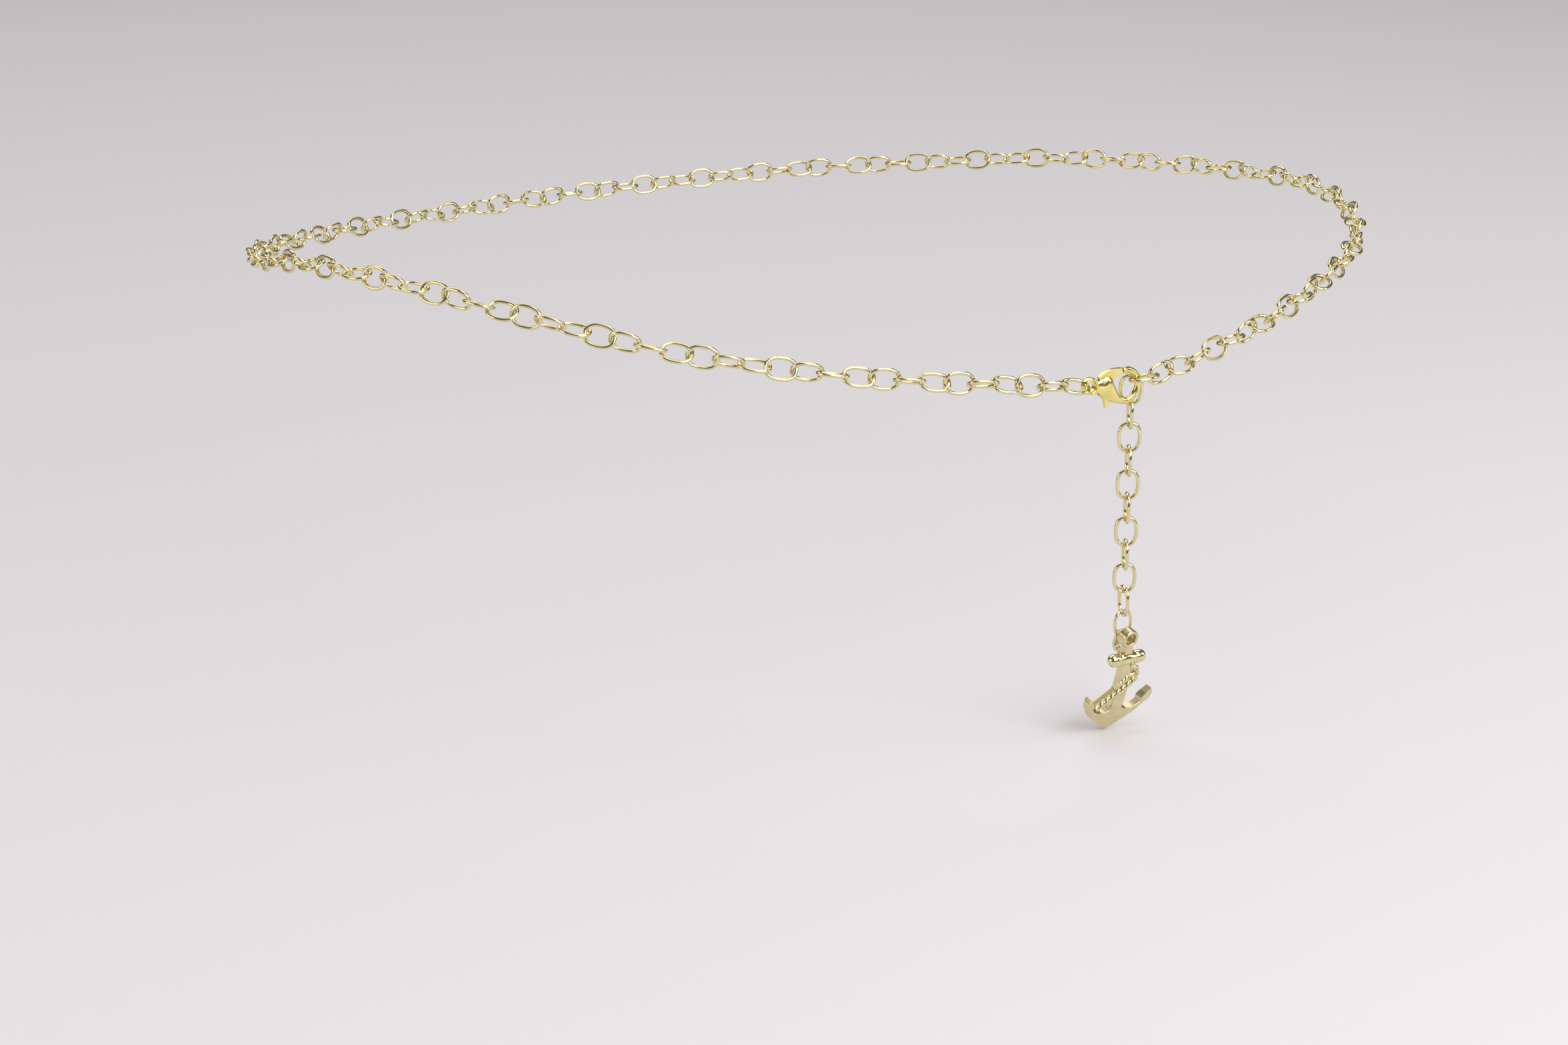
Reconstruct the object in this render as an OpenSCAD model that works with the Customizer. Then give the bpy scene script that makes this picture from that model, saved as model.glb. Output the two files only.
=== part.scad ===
// Waist chain in millimetres. X runs across the worn loop, -Y is its front and Z is up.
// The origin is the middle of the loop, where the waist goes.

/* [Worn loop] */
// Width of the loop from side to side, along the middle of the links
loop_width = 310; // [250:5:400]
// Depth of the loop from front to back, along the middle of the links
loop_depth = 252; // [200:5:340]
// Distance round the loop from its front to the middle of the clasp
clasp_offset = 34.8; // [20:0.1:60]

/* [Chain links] */
// Outside length of a link
link_length = 8.5; // [7.6:0.1:10]
// Outside width of a link
link_width = 6.3; // [5.8:0.1:7]
// Diameter of the link's wire
link_wire = 1; // [0.8:0.05:1.1]
// Play between two pieces that hang in each other
link_play = 0.15; // [0.12:0.01:0.25]
// Slack between the hook's link and the next one
hook_slack = 1; // [0:0.1:1.4]
// Turn from one link to the next beside the clasp's eye, and again towards the back
eye_side_turn = 58; // [54:1:80]
// Turn from one link to the next between those two stretches
middle_turn = 52; // [52:1:80]
// Turn from one link to the next on the side of the clasp's hook
hook_side_turn = 72.5; // [55:0.5:90]

/* [Tail] */
// Number of links in the tail
tail_links = 10; // [4:1:20]
// Outside length of a tail link
tail_link_length = 8.4; // [7.6:0.1:10]
// Outside length of the thin link that carries the anchor
connector_length = 7.8; // [7:0.1:10]
// Outside width of the thin link
connector_width = 6.2; // [5.6:0.1:6.8]
// Diameter of the thin link's wire
connector_wire = 0.8; // [0.6:0.05:0.9]

/* [Clasp] */
// Distance between the link wires that the clasp's eye and hook hold
clasp_reach = 13.6; // [13:0.1:15]
// Thickness of the clasp's body
clasp_thickness = 3; // [2.6:0.1:3.6]
// Diameter of the hole in the clasp's eye
eye_hole = 2.6; // [2.4:0.1:3.2]
// Thickness of the metal round the eye
eye_wire = 1.3; // [1:0.1:1.5]
// Radius of the hook along the middle of its wire
hook_radius = 4.05; // [3.9:0.05:4.4]
// Diameter of the hook's wire
hook_wire = 1.7; // [1.5:0.1:1.8]
// Gap between the lever's tip and the end of the hook
lever_gap = 0.3; // [0.25:0.05:0.6]
// Diameter of the lever's pin
pin_diameter = 0.9; // [0.6:0.05:1.1]
// Radial clearance between the pin and the lever's bore
pin_clearance = 0.05; // [0.03:0.01:0.1]
// Width of the slot that the lever turns in
slot_width = 1.3; // [1:0.05:1.5]
// Clearance between the lever and each side of its slot
slot_clearance = 0.12; // [0.08:0.01:0.2]

/* [Anchor] */
// Height of the anchor from the middle of its eye to the tip of its crown
anchor_height = 27.4; // [25:0.1:32]
// Width of the anchor across its flukes
anchor_width = 22.8; // [21:0.2:27]
// Height of the flukes' tips over the tip of the crown
arm_rise = 11.8; // [10.5:0.1:13]
// Thickness of the anchor's casting
anchor_thickness = 2.4; // [2.2:0.1:3]
// How far the casting bows out to the front between its eye and its crown
anchor_bow = 2; // [1:0.1:2.4]
// Width of the shank where the rope crosses it
shank_width = 3.2; // [2.8:0.1:3.8]
// Overall length of the stock
stock_length = 12.2; // [10.4:0.2:16]
// Diameter of the stock's round ends
stock_end = 3.5; // [3:0.1:3.8]
// Outside diameter of the anchor's eye
anchor_eye = 4.9; // [4.4:0.1:5.2]
// Hole in the anchor's eye
anchor_eye_hole = 3; // [2.4:0.1:3.2]
// Diameter of the rope that winds round the shank
rope_diameter = 1.7; // [1.4:0.1:2]
// Width of the bail behind the eye
bail_width = 1.8; // [1.4:0.1:2.2]
// Thickness of the bail's strip
bail_strip = 0.9; // [0.7:0.1:1.1]
// Overall height of the bail
bail_height = 6; // [5:0.1:7]

/* [Part] */
// Piece to draw, or all of them

/* [Hidden] */

// Height of the chain every 15 degrees round the loop, from its front over its right side
rise = [-8, -12, -6, 0, 3, 5, 6, 4, 2, 0, -3, -5, -7, -8, -8, -6, -3, 2, 7, 13, 14, 10, 3, -3];
rise_step = 360 / len(rise);

function rise_point(i) = rise[(i + 2 * len(rise)) % len(rise)];
function smooth(a, b, c, d, t) = (2 * b + (c - a) * t + (2 * a - 5 * b + 4 * c - d) * t * t
  + (3 * b - a - 3 * c + d) * t * t * t) / 2;
function rise_at(turn) = let(t = turn / rise_step, i = floor(t))
  smooth(rise_point(i - 1), rise_point(i), rise_point(i + 1), rise_point(i + 2), t - i);
function route(turn) = [loop_width / 2 * sin(turn), -loop_depth / 2 * cos(turn), rise_at(turn)];

// Length along the route, tabled against the turn round the loop
steps = 720;
turn_step = 360 / steps;
function step_length(i) = norm(route((i + 1) * turn_step) - route(i * turn_step));
lengths = [for (i = 0, s = 0; i <= steps; s = s + step_length(i), i = i + 1) [s, i * turn_step]];
loop_length = lengths[steps][0];
function turn_at(s) = lookup(s - loop_length * floor(s / loop_length), lengths);
function place_at(s) = route(turn_at(s));
function along(s) = let(v = place_at(s + 1) - place_at(s - 1)) v / norm(v);
function heading_of(v) = atan2(v[1], v[0]);
function slope_of(v) = asin(v[2] / norm(v));

// Distance from a link's middle to the middle of the wire at its end
link_tip = (link_length - link_wire) / 2;
link_bend = (link_width - link_wire) / 2;
link_inside = link_length / 2 - link_wire;
clasp_span = clasp_reach + 2 * link_tip;
eye_link_at = clasp_offset - clasp_span / 2;
links = round((loop_length - clasp_span) / (2 * link_inside - link_play)) + 1;
half_links = floor(links / 2);
link_pitch = (loop_length - clasp_span + hook_slack) / (links - 1);

// Roll of each link about the chain: stretches of one turn on both sides, evened out behind
eye_roll = 25;
hook_roll = 172;
stretch_links = 9;
eye_turns = [eye_side_turn, middle_turn, middle_turn, eye_side_turn, eye_side_turn];
eye_side_links = stretch_links * len(eye_turns);
hook_side_links = 20;
eye_rolls = [for (i = 0, roll = eye_roll; i < eye_side_links;
  roll = roll - eye_turns[floor(i / stretch_links)], i = i + 1) roll];
roll_start = eye_rolls[eye_side_links - 1];
roll_end = hook_roll - hook_side_turn * (hook_side_links - 1);
back_steps = links - eye_side_links - hook_side_links + 1;
back_half_turns = round((65 * back_steps - roll_start + roll_end) / 180);
back_turn = (roll_start - roll_end + 180 * back_half_turns) / back_steps;
function roll_of(i) =
  i < eye_side_links ? eye_rolls[i]
  : i > links - 1 - hook_side_links ? hook_roll - hook_side_turn * (links - 1 - i)
  : roll_start - back_turn * (i - eye_side_links + 1);

// The clasp lies straight between the end wires of the two links that it joins
eye_wire_place = place_at(eye_link_at) + link_tip * along(eye_link_at);
hook_wire_place = place_at(eye_link_at + clasp_span) - link_tip * along(eye_link_at + clasp_span);
clasp_line = hook_wire_place - eye_wire_place;
clasp_heading = heading_of(clasp_line);
clasp_slope = slope_of(clasp_line);
reach = norm(clasp_line);
function on_clasp(v) = eye_wire_place + [
  (v[0] * cos(clasp_slope) - v[2] * sin(clasp_slope)) * cos(clasp_heading) - v[1] * sin(clasp_heading),
  (v[0] * cos(clasp_slope) - v[2] * sin(clasp_slope)) * sin(clasp_heading) + v[1] * cos(clasp_heading),
  v[0] * sin(clasp_slope) + v[2] * cos(clasp_slope)];

// Clasp sizes in its own frame: X to the hook, Z up, the eye's link wire at the origin
eye_x = eye_hole / 2 - link_wire / 2 - link_play;
eye_radius = (eye_hole + eye_wire) / 2;
hook_drop = 0.87;
hook_room = hook_radius - hook_wire / 2;
hook = [reach + link_wire / 2 + link_play - sqrt(hook_room * hook_room - hook_drop * hook_drop), -hook_drop];
nose_turn = 102;
root_turn = -140;
neck_radius = 1.9;
shoulder_radius = 2.55;
cheek_radius = 2.05;
belly_radius = 2.6;
root_radius = 1.55;
root_thickness = 2.4;
eye_side = eye_x + eye_hole / 2;
neck = [eye_side + 0.1 + neck_radius, -0.45];
shoulder = [eye_side + 0.85 + shoulder_radius, 0];
cheek = [eye_side + 2.65, -1.6];
belly = [hook[0] - hook_radius - 0.57, hook[1] - 1.28];
root = [hook[0] - hook_radius * 0.66, hook[1] - hook_radius * 0.67];
slot_left = eye_side + 0.85;
slot_right = belly[0] + 0.45;
slot_floor = -0.6;
slot_run = 1.8;
boss_radius = 0.95;
pin = [slot_left + boss_radius + 0.45, 0.9];
lever_thickness = slot_width - 2 * slot_clearance;
function on_nose(radius) = hook + radius * [cos(nose_turn), sin(nose_turn)];
nose_top = on_nose(hook_radius + hook_wire / 2);
nose_low = on_nose(hook_room);
tab = [pin[0] + 1.65, belly[1] - belly_radius - 1.25];

// The first tail link hangs behind the hook, from the link that the hook holds
tail_inside = tail_link_length / 2 - link_wire;
tail_back = hook_wire / 2 + link_wire / 2 + 0.6;
tail_side = reach + 1.15;
tail_top = on_clasp([tail_side, tail_back, link_wire / 2 - tail_inside]);
tail_pitch = 2 * tail_inside - link_play;
first_heading = -19;
tail_heading = -15;
last_turn = 14;
function tail_link_heading(i) = i == 0 ? first_heading
  : tail_heading + 90 * i + (i == tail_links - 1 ? last_turn : 0);
connector_bend = (connector_width - connector_wire) / 2;
connector_inside = connector_length / 2 - connector_wire;
connector_place = tail_top
  - [0, 0, tail_pitch * (tail_links - 1) + tail_inside + connector_inside - link_play];
connector_heading = 17 + (tail_links % 2) * 90;

// Anchor sizes in its own frame: the middle of the connector's wire at the origin
anchor_heading = connector_heading;
anchor_lean = 3;
bail_rise = connector_bend - sqrt(connector_bend * connector_bend - bail_width * bail_width / 4);
bail_top = connector_wire / 2 + bail_rise + link_play;
bail_front = connector_wire / 2 + 0.4;
bail_back = connector_wire / 2 + 0.5;
eye_back = -bail_front;
eye_front = eye_back - anchor_thickness;
eye_height = bail_top + bail_strip - 0.6;
crown_height = eye_height - anchor_height;
stock_height = eye_height - anchor_height * 0.2;
stock_place = eye_front - anchor_bow * 0.2;
// The casting follows a drum that lies across it, with the bow as its rise
bow_radius = (anchor_height * anchor_height / 4 + anchor_bow * anchor_bow) / (2 * anchor_bow);
bow_middle = [eye_front - anchor_bow + bow_radius, eye_height - anchor_height / 2];
// Half the outline of the arms, in shares of half the width and of the rise of the flukes
arm_outline = [[0, 0], [0.14, 0.085], [0.27, 0.19], [0.57, 0.37], [0.76, 0.54], [0.84, 0.64],
  [0.95, 0.7], [1, 0.86], [0.95, 1], [0.79, 0.86], [0.7, 0.74], [0.73, 0.68], [0.55, 0.575],
  [0.35, 0.54], [0.2, 0.6], [0, 0.7]];
rope_height = eye_height - anchor_height * 0.36;
rope_bend = 2.7;
rope_side = 0.9;
rope_turn = 55;
rope_rise = 85;
rope_run = (rope_side + rope_bend * cos(rope_turn) + anchor_width * 0.33) / sin(rope_turn);
rope_place = eye_front - anchor_bow + 0.2;
rope_wall = 1.2;
// Tilt that brings the anchor's weight under the connector's wire
anchor_hang = atan2(anchor_thickness / 2 + anchor_bow * 0.7 - eye_back, anchor_height * 0.52 - eye_height);

module oval_link(length, width, wire) {
  bend = (width - wire) / 2;
  straight = length - width;
  for (turn = [0, 180]) rotate([0, 0, turn]) {
    translate([straight / 2, 0, 0]) rotate([0, 0, -90]) rotate_extrude(angle = 180, $fn = 48)
      translate([bend, 0]) circle(d = wire, $fn = 24);
    translate([-straight / 2, bend, 0]) rotate([0, 90, 0])
      cylinder(d = wire, h = straight, $fn = 24);
  }
}

module belt_link(i) {
  s = eye_link_at - i * link_pitch + (i == links - 1 ? hook_slack : 0);
  translate(place_at(s)) rotate([0, -slope_of(along(s)), heading_of(along(s))])
    rotate([roll_of(i), 0, 0]) oval_link(link_length, link_width, link_wire);
}

module hanging_link(place, heading, length, width, wire) {
  translate(place) rotate([0, 90, heading - 90]) oval_link(length, width, wire);
}

module belt_left_run() color("Khaki") for (i = [0 : half_links - 1]) belt_link(i);

module belt_right_run() color("Khaki") for (i = [half_links : links - 1]) belt_link(i);

module tail_chain() color("Khaki") for (i = [0 : tail_links - 1])
  hanging_link(tail_top - [0, 0, i * tail_pitch], tail_link_heading(i), tail_link_length, link_width, link_wire);

module connector_link() color("Wheat")
  hanging_link(connector_place, connector_heading, connector_length, connector_width, connector_wire);

module in_clasp_frame() translate(eye_wire_place) rotate([0, -clasp_slope, clasp_heading]) children();

// Disc with a rounded rim, standing across the clasp
module pebble(place, radius, thickness) {
  translate([place[0], 0, place[1]]) rotate([90, 0, 0]) rotate_extrude($fn = 120) intersection() {
    union() {
      translate([0, -thickness / 2]) square([radius - thickness / 2, thickness]);
      translate([radius - thickness / 2, 0]) circle(d = thickness, $fn = 72);
    }
    translate([0, -thickness]) square([radius + 1, 2 * thickness]);
  }
}

module clasp_body() color("Gold") in_clasp_frame() {
  difference() {
    union() {
      translate([eye_x, 0, 0]) rotate([90, 0, 0]) rotate_extrude($fn = 96)
        translate([eye_radius, 0]) circle(d = eye_wire, $fn = 48);
      pebble(neck, neck_radius, clasp_thickness);
      pebble(shoulder, shoulder_radius, clasp_thickness);
      pebble(cheek, cheek_radius, clasp_thickness);
      pebble(belly, belly_radius, clasp_thickness);
      pebble(root, root_radius, root_thickness);
      translate([hook[0], 0, hook[1]]) rotate([90, 0, 0]) rotate([0, 0, root_turn])
        rotate_extrude(angle = nose_turn - root_turn, $fn = 96)
          translate([hook_radius, 0]) circle(d = hook_wire, $fn = 48);
    }
    translate([slot_left, -slot_width / 2, -10]) cube([slot_right - slot_left, slot_width, 20]);
    translate([slot_right - 1, -slot_width / 2, slot_floor]) cube([slot_run + 1, slot_width, 10]);
  }
  translate([pin[0], 0, pin[1]]) rotate([90, 0, 0])
    cylinder(d = pin_diameter, h = clasp_thickness - 0.2, center = true, $fn = 32);
}

module clasp_lever() color("Goldenrod") in_clasp_frame() rotate([90, 0, 0]) difference() {
  tip_top = nose_top - [lever_gap + 0.2, 0.1];
  tip_low = nose_low - [lever_gap + 0.1, -0.2];
  union() {
    translate([pin[0], pin[1], -lever_thickness / 2])
      cylinder(r = boss_radius, h = lever_thickness, $fn = 40);
    translate([0, 0, -lever_thickness / 2]) linear_extrude(lever_thickness) {
      polygon([pin + [0.3, -0.75], tip_low, tip_top, pin + [1.5, 2.6], pin + [-0.2, 1.9], pin + [-0.9, 0.3]]);
      polygon([pin + [-0.4, 0], pin + [0.7, -0.2], tab + [0.7, 1.1], tab + [0.35, 0], tab + [-0.35, 0],
        tab + [-0.7, 1.4]]);
    }
  }
  translate([pin[0], pin[1], -2])
    cylinder(r = pin_diameter / 2 + pin_clearance, h = 4, $fn = 32);
}

module in_anchor_frame()
  translate(connector_place - [0, 0, (connector_length - connector_width) / 2])
    rotate([0, anchor_lean, anchor_heading]) translate([0, 0, -connector_bend])
      rotate([anchor_hang, 0, 0]) children();

// Turns a flat outline, drawn in width and height, into a plate between two depths
module plate(front, back) translate([0, back, 0]) rotate([90, 0, 0]) linear_extrude(back - front) children();

// Turns a flat outline into a casting that follows the bow
module bowed() intersection() {
  plate(eye_front - 2 * anchor_bow, eye_back + anchor_thickness) children();
  translate([0, bow_middle[0], bow_middle[1]]) rotate([0, 90, 0]) difference() {
    cylinder(r = bow_radius, h = 2 * anchor_width, center = true, $fn = 180);
    cylinder(r = bow_radius - anchor_thickness, h = 2 * anchor_width + 2, center = true, $fn = 180);
  }
}

module anchor_arms() for (side = [-1, 1])
  polygon([for (p = arm_outline) [side * p[0] * anchor_width / 2, crown_height + p[1] * arm_rise]]);

module anchor_shank() polygon([
  [-shank_width * 0.36, eye_height], [shank_width * 0.36, eye_height],
  [shank_width * 0.42, stock_height], [shank_width / 2, rope_height],
  [shank_width * 0.62, crown_height + arm_rise * 0.56], [-shank_width * 0.62, crown_height + arm_rise * 0.56],
  [-shank_width / 2, rope_height], [-shank_width * 0.42, stock_height]]);

// The rope and the wall that carries it: a bend beside the shank and a straight run across it
module anchor_rope() translate([rope_side, rope_place, rope_height]) rotate([90, 0, 0]) {
  rotate([0, 0, -rope_turn]) {
    rotate_extrude(angle = rope_turn + rope_rise, $fn = 64)
      translate([rope_bend, 0]) circle(d = rope_diameter, $fn = 24);
    translate([0, 0, -anchor_thickness]) rotate_extrude(angle = rope_turn + rope_rise, $fn = 64)
      translate([rope_bend - rope_wall / 2, 0]) square([rope_wall, anchor_thickness]);
    translate([rope_bend, 0, 0]) rotate([90, 0, 0]) cylinder(d = rope_diameter, h = rope_run, $fn = 24);
    translate([rope_bend - rope_wall / 2, -rope_run, -anchor_thickness])
      cube([rope_wall, rope_run, anchor_thickness]);
  }
}

module anchor() color("DarkKhaki") in_anchor_frame() {
  difference() {
    union() {
      plate(eye_front, eye_back) translate([0, eye_height]) circle(d = anchor_eye, $fn = 48);
      bowed() anchor_shank();
    }
    plate(eye_front - anchor_bow, eye_back + 1) translate([0, eye_height]) circle(d = anchor_eye_hole, $fn = 48);
  }
  translate([0, eye_front, eye_height]) rotate([90, 0, 0]) rotate_extrude($fn = 48)
    translate([(anchor_eye + anchor_eye_hole) / 4, 0])
      circle(d = (anchor_eye - anchor_eye_hole) / 2, $fn = 24);
  translate([-bail_width / 2, 0, 0]) difference() {
    translate([0, eye_back - 0.6, bail_top + bail_strip - bail_height])
      cube([bail_width, bail_back + bail_front + 0.6 + bail_strip, bail_height]);
    translate([-1, eye_back, bail_top + 2 * bail_strip - bail_height])
      cube([bail_width + 2, bail_back + bail_front, bail_height - 2 * bail_strip]);
  }
  translate([0, stock_place, stock_height]) rotate([0, 90, 0]) {
    cylinder(d = stock_end - 0.4, h = stock_length - stock_end, center = true, $fn = 40);
    cylinder(d = stock_end + 0.1, h = stock_length / 3, center = true, $fn = 40);
    for (end = [-1, 1]) translate([0, 0, end * (stock_length - stock_end) / 2]) sphere(d = stock_end, $fn = 40);
  }
  bowed() anchor_arms();
  anchor_rope();
}

belt_left_run();
belt_right_run();
tail_chain();
connector_link();
clasp_body();
clasp_lever();
anchor();
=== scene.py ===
"""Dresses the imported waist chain: polished oval links, lobster clasp, anchor charm, studio and camera.
Lengths are written in millimetres, as in the part, and become metres when a piece is made."""
import bisect
import math

import bpy
from mathutils import Matrix, Vector


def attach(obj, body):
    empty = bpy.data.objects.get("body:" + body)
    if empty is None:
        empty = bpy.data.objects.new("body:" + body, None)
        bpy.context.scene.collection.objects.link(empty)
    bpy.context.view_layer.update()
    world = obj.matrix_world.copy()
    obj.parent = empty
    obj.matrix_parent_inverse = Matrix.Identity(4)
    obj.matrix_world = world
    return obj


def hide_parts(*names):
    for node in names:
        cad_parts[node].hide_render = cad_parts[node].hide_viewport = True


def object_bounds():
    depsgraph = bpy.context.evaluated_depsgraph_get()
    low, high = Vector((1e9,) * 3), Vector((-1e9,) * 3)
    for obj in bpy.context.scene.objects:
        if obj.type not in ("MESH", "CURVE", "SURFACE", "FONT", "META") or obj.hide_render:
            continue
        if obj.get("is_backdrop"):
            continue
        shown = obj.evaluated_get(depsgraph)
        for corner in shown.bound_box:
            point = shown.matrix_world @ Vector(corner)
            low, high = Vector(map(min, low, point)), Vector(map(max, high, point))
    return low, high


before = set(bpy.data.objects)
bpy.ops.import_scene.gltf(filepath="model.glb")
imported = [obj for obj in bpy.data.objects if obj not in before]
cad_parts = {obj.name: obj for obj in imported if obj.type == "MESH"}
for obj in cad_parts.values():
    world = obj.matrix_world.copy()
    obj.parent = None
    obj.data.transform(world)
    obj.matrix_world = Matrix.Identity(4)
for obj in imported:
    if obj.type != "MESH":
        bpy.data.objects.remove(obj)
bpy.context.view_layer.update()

MM = 0.001


def cos(turn):
    return math.cos(math.radians(turn))


def sin(turn):
    return math.sin(math.radians(turn))


def turned(*turns):
    """Rotation about X, then Y, then Z, in degrees."""
    x, y, z = (math.radians(t) for t in turns)
    return Matrix.Rotation(z, 4, "Z") @ Matrix.Rotation(y, 4, "Y") @ Matrix.Rotation(x, 4, "X")


# Sizes of the worn loop, its links, the clasp and the anchor, as in the part
LOOP_WIDTH, LOOP_DEPTH, CLASP_OFFSET = 310, 252, 34.8
LINK_LENGTH, LINK_WIDTH, LINK_WIRE = 8.5, 6.3, 1.0
LINK_PLAY, HOOK_SLACK = 0.15, 1.0
EYE_SIDE_TURN, MIDDLE_TURN, HOOK_SIDE_TURN = 58, 52, 72.5
TAIL_LINKS, TAIL_LINK_LENGTH = 10, 8.4
CONNECTOR_LENGTH, CONNECTOR_WIDTH, CONNECTOR_WIRE = 7.8, 6.2, 0.8
CLASP_REACH, CLASP_THICKNESS, EYE_HOLE = 13.6, 3, 2.6
HOOK_RADIUS, HOOK_WIRE, HOOK_DROP, LEVER_GAP = 4.05, 1.7, 0.87, 0.3
PIN_DIAMETER, SLOT_WIDTH, SLOT_CLEARANCE = 0.9, 1.3, 0.12
ANCHOR_HEIGHT, ANCHOR_WIDTH, ARM_RISE = 27.4, 22.8, 11.8
ANCHOR_THICKNESS, ANCHOR_BOW, SHANK_WIDTH = 2.4, 2, 3.2
STOCK_LENGTH, STOCK_END = 12.2, 3.5
ANCHOR_EYE, ANCHOR_EYE_HOLE, ROPE_DIAMETER = 4.9, 3, 1.7
BAIL_WIDTH, BAIL_STRIP, BAIL_HEIGHT = 1.8, 0.9, 6

# Height of the chain round the loop, from its front over its right side
RISE = [-8, -12, -6, 0, 3, 5, 6, 4, 2, 0, -3, -5, -7, -8, -8, -6, -3, 2, 7, 13, 14, 10, 3, -3]
RISE_STEP = 360 / len(RISE)


def smooth(a, b, c, d, t):
    """A curve from b to c that runs on smoothly from a and to d."""
    return (2 * b + (c - a) * t + (2 * a - 5 * b + 4 * c - d) * t * t
            + (3 * b - a - 3 * c + d) * t ** 3) / 2


def rise_at(turn):
    i = math.floor(turn / RISE_STEP)
    return smooth(*(RISE[(i + k) % len(RISE)] for k in (-1, 0, 1, 2)), turn / RISE_STEP - i)


def route(turn):
    return Vector((LOOP_WIDTH / 2 * sin(turn), -LOOP_DEPTH / 2 * cos(turn), rise_at(turn)))


ROUTE_STEPS = 720
route_turns = [i * 360 / ROUTE_STEPS for i in range(ROUTE_STEPS + 1)]
route_lengths = [0.0]
for start, end in zip(route_turns, route_turns[1:]):
    route_lengths.append(route_lengths[-1] + (route(end) - route(start)).length)
loop_length = route_lengths[-1]


def place_at(s):
    s %= loop_length
    i = min(bisect.bisect_right(route_lengths, s) - 1, ROUTE_STEPS - 1)
    share = (s - route_lengths[i]) / (route_lengths[i + 1] - route_lengths[i])
    return route(route_turns[i] + share * 360 / ROUTE_STEPS)


def along(s):
    return (place_at(s + 1) - place_at(s - 1)).normalized()


def heading_of(v):
    return math.degrees(math.atan2(v.y, v.x))


def slope_of(v):
    return math.degrees(math.asin(v.z / v.length))


link_tip = (LINK_LENGTH - LINK_WIRE) / 2
link_inside = LINK_LENGTH / 2 - LINK_WIRE
clasp_span = CLASP_REACH + 2 * link_tip
eye_link_at = CLASP_OFFSET - clasp_span / 2
links = round((loop_length - clasp_span) / (2 * link_inside - LINK_PLAY)) + 1
half_links = links // 2
link_pitch = (loop_length - clasp_span + HOOK_SLACK) / (links - 1)

# Roll of each link about the chain, in stretches of one turn from link to link
EYE_ROLL, HOOK_ROLL, STRETCH_LINKS, HOOK_SIDE_LINKS, BACK_TURN_GOAL = 25, 172, 9, 20, 65
eye_rolls = [EYE_ROLL]
for stretch_turn in (EYE_SIDE_TURN, MIDDLE_TURN, MIDDLE_TURN, EYE_SIDE_TURN, EYE_SIDE_TURN):
    for _ in range(STRETCH_LINKS):
        eye_rolls.append(eye_rolls[-1] - stretch_turn)
eye_rolls.pop()
eye_side_links = len(eye_rolls)
roll_start, roll_end = eye_rolls[-1], HOOK_ROLL - HOOK_SIDE_TURN * (HOOK_SIDE_LINKS - 1)
back_steps = links - eye_side_links - HOOK_SIDE_LINKS + 1
back_half_turns = round((BACK_TURN_GOAL * back_steps - roll_start + roll_end) / 180)
back_turn = (roll_start - roll_end + 180 * back_half_turns) / back_steps


def roll_of(i):
    if i < eye_side_links:
        return eye_rolls[i]
    if i > links - 1 - HOOK_SIDE_LINKS:
        return HOOK_ROLL - HOOK_SIDE_TURN * (links - 1 - i)
    return roll_start - back_turn * (i - eye_side_links + 1)


def belt_link_place(i):
    s = eye_link_at - i * link_pitch + (HOOK_SLACK if i == links - 1 else 0)
    v = along(s)
    rolled = turned(0, -slope_of(v), heading_of(v)) @ turned(roll_of(i), 0, 0)
    return Matrix.Translation(place_at(s)) @ rolled


# The clasp lies between the end wires of the two links that it joins
eye_wire_place = place_at(eye_link_at) + link_tip * along(eye_link_at)
hook_wire_place = place_at(eye_link_at + clasp_span) - link_tip * along(eye_link_at + clasp_span)
clasp_line = hook_wire_place - eye_wire_place
reach = clasp_line.length
clasp_place = Matrix.Translation(eye_wire_place) @ turned(0, -slope_of(clasp_line), heading_of(clasp_line))

# The tail, its thin link and the anchor hang plumb from the link behind the hook
TAIL_PAST_HOOK, TAIL_BEHIND_HOOK = 1.15, 0.6
FIRST_HEADING, TAIL_HEADING, LAST_TURN, CONNECTOR_HEADING, ANCHOR_LEAN = -19, -15, 14, 17, 3
tail_inside = TAIL_LINK_LENGTH / 2 - LINK_WIRE
tail_top = clasp_place @ Vector((reach + TAIL_PAST_HOOK, (HOOK_WIRE + LINK_WIRE) / 2 + TAIL_BEHIND_HOOK,
                                 LINK_WIRE / 2 - tail_inside))
tail_pitch = 2 * tail_inside - LINK_PLAY
connector_bend = (CONNECTOR_WIDTH - CONNECTOR_WIRE) / 2
connector_inside = CONNECTOR_LENGTH / 2 - CONNECTOR_WIRE
connector_drop = tail_pitch * (TAIL_LINKS - 1) + tail_inside + connector_inside - LINK_PLAY
connector_middle = tail_top - Vector((0, 0, connector_drop))
connector_heading = CONNECTOR_HEADING + 90 * (TAIL_LINKS % 2)


def hanging_place(middle, heading):
    return Matrix.Translation(middle) @ turned(0, 90, heading - 90)


def tail_link_place(i):
    heading = FIRST_HEADING if i == 0 else TAIL_HEADING + 90 * i
    if i == TAIL_LINKS - 1:
        heading += LAST_TURN
    return hanging_place(tail_top - Vector((0, 0, i * tail_pitch)), heading)


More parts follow.
